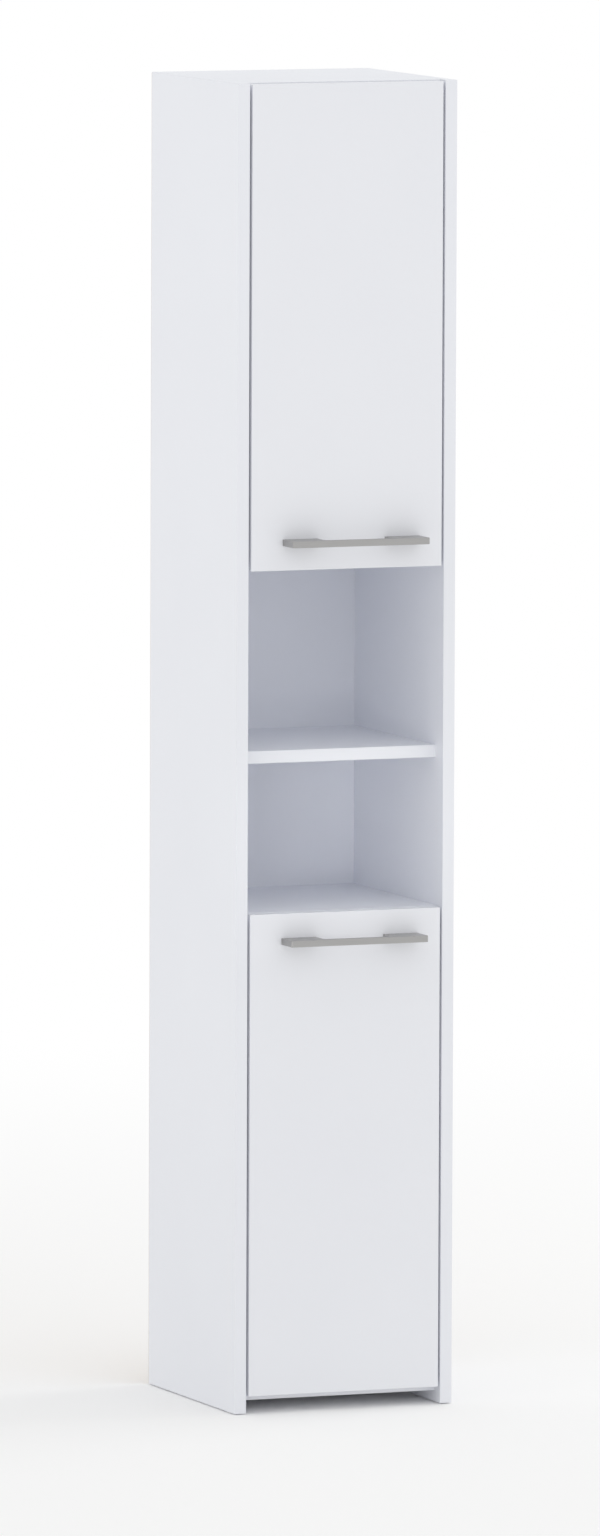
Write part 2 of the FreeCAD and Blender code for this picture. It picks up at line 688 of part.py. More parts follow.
# ---- every node, as a name and its solids ----
def nodes():
    yield "left_side_panel", [side_panel(-1)]
    yield "right_side_panel", [side_panel(1)]
    for name in FIXED_PANELS:
        yield name, [fixed_panel(name)]
    for name in LOOSE_SHELVES:
        yield name, [loose_shelf(name)]
    yield "back_panel", [back_panel()]
    yield "back_nails", [back_nail(x, z) for x, z in nail_places()]
    yield "cam_locks", cam_locks()
    yield "cam_bolts", cam_bolts()
    yield "dowels", dowels()
    yield "shelf_pins", shelf_pins()
    yield "floor_glides", floor_glides()
    yield "wall_brackets", wall_brackets()
    yield "wall_bracket_screws", bracket_screws()
    for name in DOORS:
        heights = hinge_heights(name)
        yield name + "_hinge_plates", [hinge_plate(z, name) for z in heights]
        yield name + "_hinge_plate_screws", plate_screws(name)
        yield name + "_hinge_arms", [hinge_arm(z) for z in heights]
        yield name + "_hinge_arm_screws", [screw for z in heights for screw in arm_screws(z)]
        yield name + "_hinge_arm_pins", [pivot_pin(ARM_PIVOT_U, ARM_PIVOT_V, z) for z in heights]
        yield name + "_hinge_links", [hinge_link(z) for z in heights]
        yield name + "_hinge_cups", [hinge_cup(z, name) for z in heights]
        yield name + "_hinge_cup_pins", [pivot_pin(CUP_PIVOT_U, CUP_PIVOT_V, z) for z in heights]
        yield name + "_hinge_cup_screws", cup_screws(name)
        yield name + "_door_panel", [door_panel(name)]
        yield name + "_door_bumpers", door_bumpers(name)
        yield name + "_handle", [handle(name)]
        yield name + "_handle_screws", handle_screws(name)


os.makedirs("parts", exist_ok=True)
for node, solids in nodes():
    shape = solids[0] if len(solids) == 1 else Part.makeCompound(solids)
    shape.exportStep("parts/" + node + ".step")
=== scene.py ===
import bmesh
import bpy
import json
import math
from mathutils import Matrix, Vector


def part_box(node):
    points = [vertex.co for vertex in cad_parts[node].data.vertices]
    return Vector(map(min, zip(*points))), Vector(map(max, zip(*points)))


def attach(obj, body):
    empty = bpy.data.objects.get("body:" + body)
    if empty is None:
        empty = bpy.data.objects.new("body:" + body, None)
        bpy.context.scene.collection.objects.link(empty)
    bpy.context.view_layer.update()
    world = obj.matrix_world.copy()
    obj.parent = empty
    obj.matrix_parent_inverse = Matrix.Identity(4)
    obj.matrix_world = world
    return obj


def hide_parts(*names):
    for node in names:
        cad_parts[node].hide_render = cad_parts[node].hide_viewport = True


# Tall bathroom cabinet, seen slightly from the left. Metres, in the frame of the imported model:
# X to the right, Y from the front to the wall, Z up, with the origin on the floor.

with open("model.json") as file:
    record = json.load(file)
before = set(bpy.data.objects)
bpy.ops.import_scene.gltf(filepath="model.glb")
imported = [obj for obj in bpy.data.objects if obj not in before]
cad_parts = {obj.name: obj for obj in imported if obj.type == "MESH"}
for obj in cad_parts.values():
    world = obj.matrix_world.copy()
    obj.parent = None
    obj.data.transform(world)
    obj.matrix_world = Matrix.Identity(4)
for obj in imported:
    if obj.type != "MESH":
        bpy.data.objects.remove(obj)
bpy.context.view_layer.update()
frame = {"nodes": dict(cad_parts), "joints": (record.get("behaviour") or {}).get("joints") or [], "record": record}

MM = 0.001
DOORS = ("upper", "lower")
CARCASS = "carcass"

# ---- sizes of the visible hardware; a rounding is a radius and its number of segments ----
HANDLE_FOOT_W = 48 * MM
HANDLE_BAR_T = 8 * MM
HANDLE_INNER_ROUNDING = (7 * MM, 8)
HANDLE_OUTER_ROUNDING = (1.2 * MM, 4)
HANDLE_RIM_ROUNDING = (0.7 * MM, 3)

# head radius, head height and shank radius
WOOD_SCREW = (3.4 * MM, 1.6 * MM, 1.75 * MM)
ARM_SCREW = (3.4 * MM, 1.5 * MM, 2.0 * MM)
HANDLE_SCREW = (4.0 * MM, 2.2 * MM, 2.0 * MM)
# a head's rim height as a share of its height, and a point's radius as a share of the core's
HEAD_RIM_SHARE = 0.7
POINT_SHARE = 0.6
THREAD_PITCH = 1.4 * MM
THREAD_DEPTH = 0.3 * MM
PLAIN_SHANK = 1.0 * MM
SHANK_OVERLAP = 0.1 * MM

# the cross recess: half the width and half the reach of its arms, as angles seen from the rim
CROSS_HALF_WIDTH = math.radians(9)
CROSS_REACH = math.radians(27)
CROSS_TAPER = 0.75
RECESS_DEPTH = 1.0 * MM
RECESS_SHARE = 0.7
CAM_RECESS_DEPTH = 2.0 * MM
CAM_RIM_DROP = 0.4 * MM

# the glide's soft rim, as shares of its radius and heights over the floor
GLIDE_RIM = ((0.8, 0), (0.94, 0.2 * MM), (1.0, 0.7 * MM))
GLIDE_T = 1.5 * MM
GLIDE_NAIL_R = 1.0 * MM
NAIL_R = 0.7 * MM
NAIL_HEAD_T = 0.7 * MM
NAIL_HEAD_RIM = 0.6 * NAIL_HEAD_T
NAIL_HEAD_ROUND = 0.3 * MM
NAIL_POINT = 2 * MM

CUP_R = 17.5 * MM
CUP_EDGE = 4.0 * MM
CUP_WALL = 0.8 * MM
CUP_CORNER = 1.6 * MM
CUP_CORNER_CUT = 0.3 * CUP_CORNER
CUP_LIP = 0.2 * MM
# the flange's two long sides, from the middle of the cup
EAR_X = (-7.0 * MM, 13.0 * MM)
EAR_ROUNDING = (5.0 * MM, 6)
LUG_T = 2.6 * MM
LUG_R = 2.2 * MM
LUG_ROUNDING = (0.9 * MM, 3)
PIVOT_PIN_BREAK = 0.35 * MM

BUMPER_SKIRT_SHARE = 0.35
SHELF_PIN_R = 2.5 * MM
SHELF_PIN_COLLAR_R = 4.0 * MM
SHELF_PIN_COLLAR_T = 0.8 * MM
SHELF_PIN_COLLAR_RIM = 0.6 * SHELF_PIN_COLLAR_T
SHELF_PIN_BREAK = 0.3 * MM
SHELF_PIN_POINT = 0.6 * MM
SHELF_PIN_CUT = 0.01 * MM
BROKEN_EDGE = (0.3 * MM, 2)

# steps of a full turn, and in the last two lines of part of a turn
SHANK_STEPS = 12
SMALL_STEPS = 16
FITTING_STEPS = 24
GLIDE_STEPS = 32
CUP_STEPS = 48
EAR_ARC_STEPS = 14
BUMPER_DOME_STEPS = 6

SMOOTH_ANGLE = math.radians(35)
FLAT_ANGLE = math.radians(1)
SHARP_ANGLE = math.radians(40)
SAME_PLACE = 0.001 * MM
NEAR = 0.1 * MM


# ---- places read from the frame ----
def node_parts(node_name):
    """Lowest and highest corner of each separate solid of a node, from the bottom up."""
    copy = bmesh.new()
    copy.from_mesh(frame["nodes"][node_name].data)
    bmesh.ops.remove_doubles(copy, verts=copy.verts, dist=SAME_PLACE)
    boxes = []
    left = set(copy.verts)
    while left:
        start = left.pop()
        island, queue = [start], [start]
        while queue:
            for edge in queue.pop().link_edges:
                for vert in edge.verts:
                    if vert in left:
                        left.remove(vert)
                        island.append(vert)
                        queue.append(vert)
        low = Vector([min(v.co[i] for v in island) for i in range(3)])
        high = Vector([max(v.co[i] for v in island) for i in range(3)])
        boxes.append((low, high))
    copy.free()
    return sorted(boxes, key=lambda b: (round(b[0].z, 5), round(b[0].y, 5), round(b[0].x, 5)))


# ---- making and finishing a piece ----
def finished(bm, name, body, slot, replaced, even_faces=False):
    """Makes a piece of a mesh. With even_faces, broad faces stay evenly lit beside their fine bevels."""
    bmesh.ops.remove_doubles(bm, verts=bm.verts, dist=2 * SAME_PLACE)
    bmesh.ops.recalc_face_normals(bm, faces=bm.faces)
    mesh = bpy.data.meshes.new(name)
    for face in bm.faces:
        face.smooth = True
    bm.to_mesh(mesh)
    bm.free()
    mesh.set_sharp_from_angle(angle=SMOOTH_ANGLE)
    mesh.materials.append(MATERIALS[slot])
    piece = bpy.data.objects.new(name, mesh)
    bpy.context.scene.collection.objects.link(piece)
    if even_faces:
        piece.modifiers.new("even_faces", "WEIGHTED_NORMAL").keep_sharp = True
    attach(piece, body)
    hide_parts(replaced)


def moved(bm, verts, origin, axis=(0, 0, 1)):
    """Sets a shape that was made on its own +Z axis at a place, along an axis."""
    turn = Vector((0, 0, 1)).rotation_difference(Vector(axis)).to_matrix().to_4x4()
    bmesh.ops.transform(bm, matrix=Matrix.Translation(origin) @ turn, verts=verts)


def turned(bm, profile, steps):
    """Spins a profile of (radius, height) points about Z, and returns its vertices."""
    before = set(bm.verts)
    verts = [bm.verts.new((radius, 0, height)) for radius, height in profile]
    edges = [bm.edges.new(pair) for pair in zip(verts, verts[1:])]
    bmesh.ops.spin(
        bm, geom=verts + edges, cent=(0, 0, 0), axis=(0, 0, 1), dvec=(0, 0, 0),
        angle=2 * math.pi, steps=steps, use_merge=True,
    )
    new = [v for v in bm.verts if v not in before]
    bmesh.ops.remove_doubles(bm, verts=new, dist=SAME_PLACE / 2)
    return [v for v in bm.verts if v not in before]


def verts_of(made):
    """The vertices among the things that an operator made."""
    return [element for element in made if isinstance(element, bmesh.types.BMVert)]


def bevelled(bm, edges, rounding, clamp=False):
    """Rounds edges by a rounding's radius and segments."""
    offset, segments = rounding
    bmesh.ops.bevel(bm, geom=edges, offset=offset, segments=segments, profile=0.5,
                    affect="EDGES", material=-1, clamp_overlap=clamp)


def closed_bottom(bm, verts):
    """Closes the open rim of a shape with a flat face."""
    rim = {e for v in verts for e in v.link_edges if e.is_boundary}
    bmesh.ops.holes_fill(bm, edges=list(rim))


# ---- shapes of the small hardware, each made on +Z with its seat at height 0 ----
def recessed_head(bm, radius, height, rim_height, depth):
    """A round head that falls from its middle to its rim, with a cross recess in its top."""
    before = set(bm.verts)
    bmesh.ops.create_grid(bm, x_segments=5, y_segments=5, size=1.0)
    verts = [v for v in bm.verts if v not in before]
    # six lines of vertices each way: the inner ones bound the recess, the outer ones lie on the rim
    narrow, wide = math.tan(CROSS_HALF_WIDTH), math.tan(CROSS_REACH)
    for vert in verts:
        x, y = [
            math.copysign(1.0 if abs(c) > 0.9 else wide if abs(c) > 0.4 else narrow, c)
            for c in vert.co.xy
        ]
        on_rim = max(abs(x), abs(y)) == 1.0
        size = math.hypot(x, y) if on_rim else 1.0
        vert.co = Vector((x / size * radius, y / size * radius, rim_height if on_rim else height))
    rim = [e for e in {e for v in verts for e in v.link_edges} if e.is_boundary]
    for vert in verts_of(bmesh.ops.extrude_edge_only(bm, edges=rim)["geom"]):
        vert.co.z = 0
    cross = []
    for face in {f for v in verts for f in v.link_faces}:
        centre = face.calc_center_median()
        spread = sorted((abs(centre.x), abs(centre.y)))
        if face.normal.z ** 2 > 0.2 and spread[0] < narrow * radius / 2 and spread[1] < wide * radius:
            cross.append(face)
    sunk = verts_of(bmesh.ops.extrude_face_region(bm, geom=cross)["geom"])
    bmesh.ops.delete(bm, geom=[f for f in cross if f.is_valid], context="FACES")
    bmesh.ops.scale(bm, vec=(CROSS_TAPER, CROSS_TAPER, 1.0), verts=sunk)
    bmesh.ops.translate(bm, vec=(0, 0, -depth), verts=sunk)
    made = [v for v in bm.verts if v not in before]
    closed_bottom(bm, made)
    return made


def threaded_shank(bm, radius, length):
    """A pointed shank with ridges, from height 0 downwards."""
    core = radius - THREAD_DEPTH
    height = -length + radius
    profile = [(0, -length), (core * POINT_SHARE, height)]
    while height + THREAD_PITCH < -PLAIN_SHANK:
        profile += [
            (core, height + THREAD_PITCH * 0.25),
            (radius, height + THREAD_PITCH * 0.5),
            (core, height + THREAD_PITCH * 0.75),
        ]
        height += THREAD_PITCH
    profile += [(core, -PLAIN_SHANK * 0.5), (core, SHANK_OVERLAP), (0, SHANK_OVERLAP)]
    return turned(bm, profile, SHANK_STEPS)


def screw(bm, seat, axis, head_r, head_t, shank_r, length):
    """One screw, with its head on a seat and its top the way that an axis points."""
    depth = min(RECESS_DEPTH, head_t * RECESS_SHARE)
    verts = recessed_head(bm, head_r, head_t, head_t * HEAD_RIM_SHARE, depth)
    verts += threaded_shank(bm, shank_r, length)
    moved(bm, verts, seat, axis)


def screws_of(node_name, name, body, axis, head_r, head_t, shank_r):
    """One piece for all the screws of a node, with their heads on the side that the axis points to."""
    bm = bmesh.new()
    way = Vector(axis)
    for low, high in node_parts(node_name):
        centre = (low + high) / 2
        length = abs((high - low).dot(way))
        top = centre + way * (length / 2)
        screw(bm, top - way * head_t, axis, head_r, head_t, shank_r, length - head_t)
    finished(bm, name, body, "zinc_steel", node_name)


def broken_edges(node_name, name, body, slot):
    """The node's own shape with its pressed or cut edges finely broken."""
    bm = bmesh.new()
    bm.from_mesh(frame["nodes"][node_name].data)
    bmesh.ops.remove_doubles(bm, verts=bm.verts, dist=SAME_PLACE)
    bmesh.ops.dissolve_limit(bm, angle_limit=FLAT_ANGLE, verts=bm.verts, edges=bm.edges)
    sharp = [e for e in bm.edges if len(e.link_faces) == 2 and e.calc_face_angle(0) > SHARP_ANGLE]
    bevelled(bm, sharp, BROKEN_EDGE, clamp=True)
    finished(bm, name, body, slot, node_name, even_faces=True)


# ---- shader nodes ----
def node(tree, kind, settings=None, **values):
    """Adds a shader node. A value's name is its socket's name, with _ for each space."""
    made = tree.nodes.new("ShaderNode" + kind)
    for key, value in (settings or {}).items():
        setattr(made, key, value)
    for label, value in values.items():
        made.inputs[label.replace("_", " ")].default_value = value
    return made


def link(tree, source, target):
    tree.links.new(source, target)


def object_place(tree):
    """Place on the cabinet at rest, in metres."""
    return node(tree, "TexCoord").outputs["Object"]


def noise(tree, coordinates, scale_socket, detail, roughness=0.55):
    """A noise whose scale comes from a socket."""
    made = node(tree, "TexNoise", Detail=detail, Roughness=roughness)
    link(tree, coordinates, made.inputs["Vector"])
    link(tree, scale_socket, made.inputs["Scale"])
    return made.outputs["Fac"]


def ranged(tree, source, span, target=(0.0, 1.0)):
    """A value whose span is stretched to a target span."""
    made = node(tree, "MapRange", From_Min=span[0], From_Max=span[1], To_Min=target[0], To_Max=target[1])
    link(tree, source, made.inputs["Value"])
    return made.outputs["Result"]


def rough_range(tree, start, level, span):
    """Roughness from a group's Smooth to its Rough, as the level of its pattern rises."""
    made = node(tree, "MapRange", From_Min=span[0], From_Max=span[1])
    link(tree, level, made.inputs["Value"])
    link(tree, start.outputs["Smooth"], made.inputs["To Min"])
    link(tree, start.outputs["Rough"], made.inputs["To Max"])
    return made.outputs["Result"]


def mixed(tree, kind, mask, first, second):
    """The first socket's value where the mask is 0, and the second's where it is 1."""
    made = node(tree, "Mix", {"data_type": kind})
    link(tree, mask, made.inputs["Factor"])
    link(tree, first, made.inputs["A"])
    link(tree, second, made.inputs["B"])
    return made.outputs["Result"]


def two_tones(tree, mask, tones):
    """The first of two colours where the mask is 0, and the second where it is 1."""
    made = node(tree, "Mix", {"data_type": "RGBA"}, A=(*tones[0], 1.0), B=(*tones[1], 1.0))
    link(tree, mask, made.inputs["Factor"])
    return made.outputs["Result"]


def mixed_surface(tree, output, mask, first, second):
    """Puts out the first shader where the mask is 0, and the second where it is 1."""
    mix = node(tree, "MixShader")
    link(tree, mask, mix.inputs[0])
    link(tree, first, mix.inputs[1])
    link(tree, second, mix.inputs[2])
    link(tree, mix.outputs["Shader"], tree.nodes[output].inputs["Surface"])


# ---- shader node groups shared by the materials ----
# the spans of the noise's values that a pattern uses
NOISE_SPAN = (0.3, 0.7)
STREAK_SPAN = (0.25, 0.75)
PEARL_ROUGHNESS = (0.40, 0.47)


def new_group(name, inputs):
    """A group that puts out the tone, the height and the roughness of one pattern."""
    tree = bpy.data.node_groups.new(name, "ShaderNodeTree")
    for label, kind, value in inputs:
        socket = tree.interface.new_socket(label, in_out="INPUT", socket_type=kind)
        socket.default_value = value
    for label in ("Tone", "Height", "Roughness"):
        tree.interface.new_socket(label, in_out="OUTPUT", socket_type="NodeSocketFloat")
    return tree, tree.nodes.new("NodeGroupInput"), tree.nodes.new("NodeGroupOutput")


def pearl_group():
    """Fine pearl of a melamine or foil face, with slow changes of tone across a board."""
    tree, start, end = new_group("pearl_grain", [
        ("Pearl Scale", "NodeSocketFloat", 900.0),
        ("Cloud Scale", "NodeSocketFloat", 5.0),
    ])
    place = object_place(tree)
    pearl = noise(tree, place, start.outputs["Pearl Scale"], detail=3.0)
    cloud = noise(tree, place, start.outputs["Cloud Scale"], detail=2.0)
    link(tree, ranged(tree, cloud, NOISE_SPAN), end.inputs["Tone"])
    link(tree, pearl, end.inputs["Height"])
    link(tree, ranged(tree, pearl, NOISE_SPAN, PEARL_ROUGHNESS), end.inputs["Roughness"])
    return tree


def streak_group():
    """Fine streaks of brushed or rolled metal, and of wood, along the axis with the small scale."""
    tree, start, end = new_group("metal_streaks", [
        ("Stretch", "NodeSocketVector", (30.0, 900.0, 900.0)),
        ("Smooth", "NodeSocketFloat", 0.3),
        ("Rough", "NodeSocketFloat", 0.4),
    ])
    stretched = node(tree, "VectorMath", {"operation": "MULTIPLY"})
    link(tree, object_place(tree), stretched.inputs[0])
    link(tree, start.outputs["Stretch"], stretched.inputs[1])
    streaks = node(tree, "TexNoise", Scale=1.0, Detail=4.0, Roughness=0.6)
    link(tree, stretched.outputs[0], streaks.inputs["Vector"])
    level = streaks.outputs["Fac"]
    link(tree, ranged(tree, level, STREAK_SPAN), end.inputs["Tone"])
    link(tree, level, end.inputs["Height"])
    link(tree, rough_range(tree, start, level, STREAK_SPAN), end.inputs["Roughness"])
    return tree


def speckle_group():
    """Fine speckle of die castings, rubber, moulded plastic and pressed fibre."""
    tree, start, end = new_group("fine_speckle", [
        ("Speckle Scale", "NodeSocketFloat", 1400.0),
        ("Smooth", "NodeSocketFloat", 0.45),
        ("Rough", "NodeSocketFloat", 0.6),
    ])
    level = noise(tree, object_place(tree), start.outputs["Speckle Scale"], detail=2.0, roughness=0.7)
    link(tree, ranged(tree, level, NOISE_SPAN), end.inputs["Tone"])
    link(tree, level, end.inputs["Height"])
    link(tree, rough_range(tree, start, level, NOISE_SPAN), end.inputs["Roughness"])
    return tree


PEARL = pearl_group()
STREAKS = streak_group()
SPECKLE = speckle_group()

# ---- materials ----
# the two tones of each finish
MELAMINE = ((0.838, 0.849, 0.888), (0.852, 0.863, 0.90))
DOOR_FOIL = ((0.838, 0.846, 0.882), (0.852, 0.860, 0.893))
BACK_LACQUER = ((0.825, 0.836, 0.878), (0.84, 0.851, 0.89))
BARE_FIBRE = ((0.26, 0.165, 0.09), (0.40, 0.275, 0.165))
BEECH = ((0.50, 0.31, 0.15), (0.62, 0.42, 0.24))
SATIN_ALUMINIUM = ((0.398, 0.393, 0.388), (0.438, 0.433, 0.428))
NICKEL_PLATE = ((0.52, 0.50, 0.47), (0.60, 0.58, 0.55))
ZINC_PLATE = ((0.55, 0.57, 0.60), (0.66, 0.68, 0.71))
ZINC_CASTING = ((0.46, 0.47, 0.48), (0.56, 0.57, 0.58))
GLIDE_PLASTIC = ((0.70, 0.70, 0.69), (0.74, 0.74, 0.73))
BUMPER_RUBBER = ((0.72, 0.74, 0.75), (0.78, 0.80, 0.81))

# how strongly each pattern shows as relief
PEARL_BUMP = 0.25
STREAK_BUMP = 0.3
SPECKLE_BUMP = 0.4
FIBRE_BUMP = 0.15

# scales along X, Y and Z: streaks run along the axis with the small one
ALONG_X = (25.0, 1600.0, 1600.0)
ALONG_Y = (1600.0, 25.0, 1600.0)
ALONG_Z = (1600.0, 1600.0, 25.0)
GRAIN_ALONG_X = (60.0, 1500.0, 1500.0)
CLOUD_SCALE = 4.0
# half the depth in which the back sheet's lacquer gives way to bare fibre
LACQUER_EDGE = 0.2 * MM


def new_material(name, metallic=0.0, subsurface=0.0):
    """A material, its node tree and its shader."""
    material = bpy.data.materials.new(name)
    material.use_nodes = True
    shader = material.node_tree.nodes["Principled BSDF"]
    shader.inputs["Metallic"].default_value = metallic
    shader.inputs["Subsurface Weight"].default_value = subsurface
    return material, material.node_tree, shader


def effect(tree, group, **values):
    """Places a shared group in a material, with the material's own values."""
    return node(tree, "Group", {"node_tree": group}, **values)


def bumped(tree, shader, height, strength, distance):
    """Gives a shader the relief of a height."""
    made = node(tree, "Bump", Strength=strength, Distance=distance)
    link(tree, height, made.inputs["Height"])
    link(tree, made.outputs["Normal"], shader.inputs["Normal"])


def patterned(name, group, tones, bump, depth, metallic=0.0, subsurface=0.0, **values):
    """A material whose tone, roughness and relief follow one pattern."""
    material, tree, shader = new_material(name, metallic, subsurface)
    pattern = effect(tree, group, **values)
    link(tree, two_tones(tree, pattern.outputs["Tone"], tones), shader.inputs["Base Color"])
    link(tree, pattern.outputs["Roughness"], shader.inputs["Roughness"])
    bumped(tree, shader, pattern.outputs["Height"], bump, depth)
    return material


def white_face(name, tones, scale, depth):
    """Smooth white facing with a fine pearl."""
    return patterned(name, PEARL, tones, PEARL_BUMP, depth, Pearl_Scale=scale, Cloud_Scale=CLOUD_SCALE)


def streaked(name, tones, stretch, smooth, rough, depth, metallic=1.0):
    """Brushed or rolled metal, or wood where it isn't metallic."""
    return patterned(
        name, STREAKS, tones, STREAK_BUMP, depth, metallic=metallic,
        Stretch=stretch, Smooth=smooth, Rough=rough,
    )


def speckled(name, tones, scale, smooth, rough, depth, metallic=0.0, subsurface=0.0):
    """Cast metal, moulded plastic or soft rubber."""
    return patterned(
        name, SPECKLE, tones, SPECKLE_BUMP, depth, metallic=metallic, subsurface=subsurface,
        Speckle_Scale=scale, Smooth=smooth, Rough=rough,
    )


def back_sheet_material():
    """White lacquer towards the inside of the cabinet, bare pressed fibre towards the wall."""
    material, tree, shader = new_material("lacquered_hardboard")
    low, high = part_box("back_panel")
    middle = (low.y + high.y) / 2
    apart = node(tree, "SeparateXYZ")
    link(tree, object_place(tree), apart.inputs[0])
    bare = ranged(tree, apart.outputs["Y"], (middle - LACQUER_EDGE, middle + LACQUER_EDGE))
    pearl = effect(tree, PEARL, Pearl_Scale=700.0, Cloud_Scale=CLOUD_SCALE)
    fibre = effect(tree, SPECKLE, Speckle_Scale=420.0, Smooth=0.62, Rough=0.85)
    white = two_tones(tree, pearl.outputs["Tone"], BACK_LACQUER)
    brown = two_tones(tree, fibre.outputs["Tone"], BARE_FIBRE)
    roughness = mixed(tree, "FLOAT", bare, pearl.outputs["Roughness"], fibre.outputs["Roughness"])
    link(tree, mixed(tree, "RGBA", bare, white, brown), shader.inputs["Base Color"])
    link(tree, roughness, shader.inputs["Roughness"])
    bumped(tree, shader, fibre.outputs["Height"], FIBRE_BUMP, 0.1 * MM)
    return material


MATERIALS = {
    "white_board": white_face("white_melamine", MELAMINE, scale=850.0, depth=0.05 * MM),
    "white_door": white_face("white_door_foil", DOOR_FOIL, scale=1100.0, depth=0.04 * MM),
    "back_sheet": back_sheet_material(),
    "beech": streaked(
        "beech", BEECH, GRAIN_ALONG_X, smooth=0.5, rough=0.65, depth=0.05 * MM, metallic=0.0),
    "handle_metal": streaked(
        "satin_aluminium", SATIN_ALUMINIUM, ALONG_X, smooth=0.34, rough=0.44, depth=0.02 * MM),
    "nickel_steel": streaked(
        "nickel_plate", NICKEL_PLATE, ALONG_Z, smooth=0.2, rough=0.3, depth=0.01 * MM),
    "zinc_steel": streaked(
        "zinc_plate", ZINC_PLATE, ALONG_Y, smooth=0.26, rough=0.4, depth=0.02 * MM),
    "zinc_die_cast": speckled(
        "zinc_casting", ZINC_CASTING, 1500.0, smooth=0.35, rough=0.5, depth=0.05 * MM, metallic=1.0),
    "glide_plastic": speckled(
        "glide_plastic", GLIDE_PLASTIC, 1400.0, smooth=0.42, rough=0.55, depth=0.04 * MM),
    "bumper_rubber": speckled(
        "soft_bumper", BUMPER_RUBBER, 1000.0, smooth=0.25, rough=0.4, depth=0.03 * MM, subsurface=0.4),
}


def dress_frame():
    """Gives every node of the frame the finish of its slot."""
    for part in frame["record"]["subparts"]:
        piece = frame["nodes"][part["node"]]
        finish = MATERIALS[part["material_slot"]]
        if not piece.material_slots:
            piece.data.materials.append(finish)
        for material_slot in piece.material_slots:
            material_slot.material = finish


# ---- handles ----
def bar_handle(door):
    """A flat bar on two broad feet, with soft inner corners and finely broken edges."""
    low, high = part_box(door + "_handle")
    bar_back = low.y + HANDLE_BAR_T
    outline = [
        (low.x, high.y), (low.x, low.y), (high.x, low.y), (high.x, high.y),
        (high.x - HANDLE_FOOT_W, high.y), (high.x - HANDLE_FOOT_W, bar_back),
        (low.x + HANDLE_FOOT_W, bar_back), (low.x + HANDLE_FOOT_W, high.y),
    ]
    bm = bmesh.new()
    face = bm.faces.new([bm.verts.new((x, y, low.z)) for x, y in outline])
    top = verts_of(bmesh.ops.extrude_face_region(bm, geom=[face])["geom"])
    bmesh.ops.translate(bm, vec=(0, 0, high.z - low.z), verts=top)

    def rise(edge):
        return abs(edge.verts[0].co.z - edge.verts[1].co.z)

    def upright_at(y):
        return [e for e in bm.edges if rise(e) > NEAR and abs(e.verts[0].co.y - y) < NEAR]

    bevelled(bm, upright_at(bar_back), HANDLE_INNER_ROUNDING)
    bevelled(bm, upright_at(low.y), HANDLE_OUTER_ROUNDING)
    # the edges of the top and bottom faces, but not those on the door
    rims = [
        e for e in bm.edges
        if rise(e) < NEAR
        and min(v.co.y for v in e.verts) < high.y - NEAR
        and len({abs(f.normal.z) > 0.5 for f in e.link_faces}) == 2
    ]
    bevelled(bm, rims, HANDLE_RIM_ROUNDING)
    finished(bm, door + "_bar_handle", door + "_door", "handle_metal", door + "_handle", even_faces=True)


# ---- concealed hinges ----
def hinge_cups(door):
    """Pressed cups, flush with the door's back: a bowl with a soft bottom corner, two ears, two lugs."""
    node_name = door + "_hinge_cups"
    pivot_name = door + "_hinge_cup_pivots"
    pivot = Vector(next(j["pos_m"] for j in frame["joints"] if j["name"] == pivot_name))
    door_low, door_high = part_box(door + "_door_panel")
    centre_x = door_low.x + CUP_EDGE + CUP_R
    inner = CUP_R - CUP_WALL
    bm = bmesh.new()
    for (low, high), (pin_low, pin_high) in zip(node_parts(node_name), node_parts(door + "_hinge_cup_pins")):
        # heights from the door's back, with the bowl's bottom deep in the door
        bottom = low.y - door_high.y
        inside = bottom + CUP_WALL
        bowl = turned(bm, [
            (0, bottom),
            (CUP_R - CUP_CORNER, bottom),
            (CUP_R - CUP_CORNER_CUT, bottom + CUP_CORNER_CUT),
            (CUP_R, bottom + CUP_CORNER),
            (CUP_R, 0),
            (inner + CUP_LIP, 0),
            (inner, -CUP_LIP),
            (inner, inside + CUP_CORNER),
            (inner - CUP_CORNER_CUT, inside + CUP_CORNER_CUT),
            (inner - CUP_CORNER, inside),
            (0, inside),
        ], CUP_STEPS)
        centre = Vector((centre_x, door_high.y, (low.z + high.z) / 2))
        moved(bm, bowl, centre, (0, 1, 0))
        for end, tip in ((1, high), (-1, low)):
            cup_ear(bm, centre, end, tip.z, inner + CUP_LIP, high.y - door_high.y)
        for end_z, way in ((pin_low.z, 1), (pin_high.z, -1)):
            start = Vector((centre_x - inner, low.y + CUP_WALL / 2, end_z))
            cup_lug(bm, start, pivot + Vector((LUG_R, LUG_R, 0)), way)
    finished(bm, door + "_pressed_cups", door + "_door", "nickel_steel", node_name)


def cup_ear(bm, centre, end, tip_z, mouth_r, thickness):
    """One end of the cup's flange, from the round mouth out to two round corners."""
    left, right = EAR_X
    first = bm.verts.new(centre + Vector((left, 0, end * math.sqrt(mouth_r ** 2 - left ** 2))))
    sweep = math.asin(right / mouth_r) - math.asin(left / mouth_r)
    last = bmesh.ops.spin(bm, geom=[first], cent=centre, axis=(0, end, 0), dvec=(0, 0, 0),
                          angle=sweep, steps=EAR_ARC_STEPS)["geom_last"][0]
    corners = [bm.verts.new((centre.x + x, centre.y, tip_z)) for x in EAR_X]
    outline = {bm.edges.new(pair) for pair in ((first, corners[0]), corners, (corners[1], last))}
    vert = first
    while vert is not last:
        edge = next(e for e in vert.link_edges if e not in outline)
        outline.add(edge)
        vert = edge.other_vert(vert)
    face = bmesh.ops.edgeloop_fill(bm, edges=list(outline))["faces"][0]
    raised = verts_of(bmesh.ops.extrude_face_region(bm, geom=[face])["geom"])
    bmesh.ops.translate(bm, vec=(0, thickness, 0), verts=raised)
    upright = [
        e for v in corners for e in v.link_edges
        if abs(e.verts[0].co.y - e.verts[1].co.y) > thickness / 2
    ]
    bevelled(bm, upright, EAR_ROUNDING)


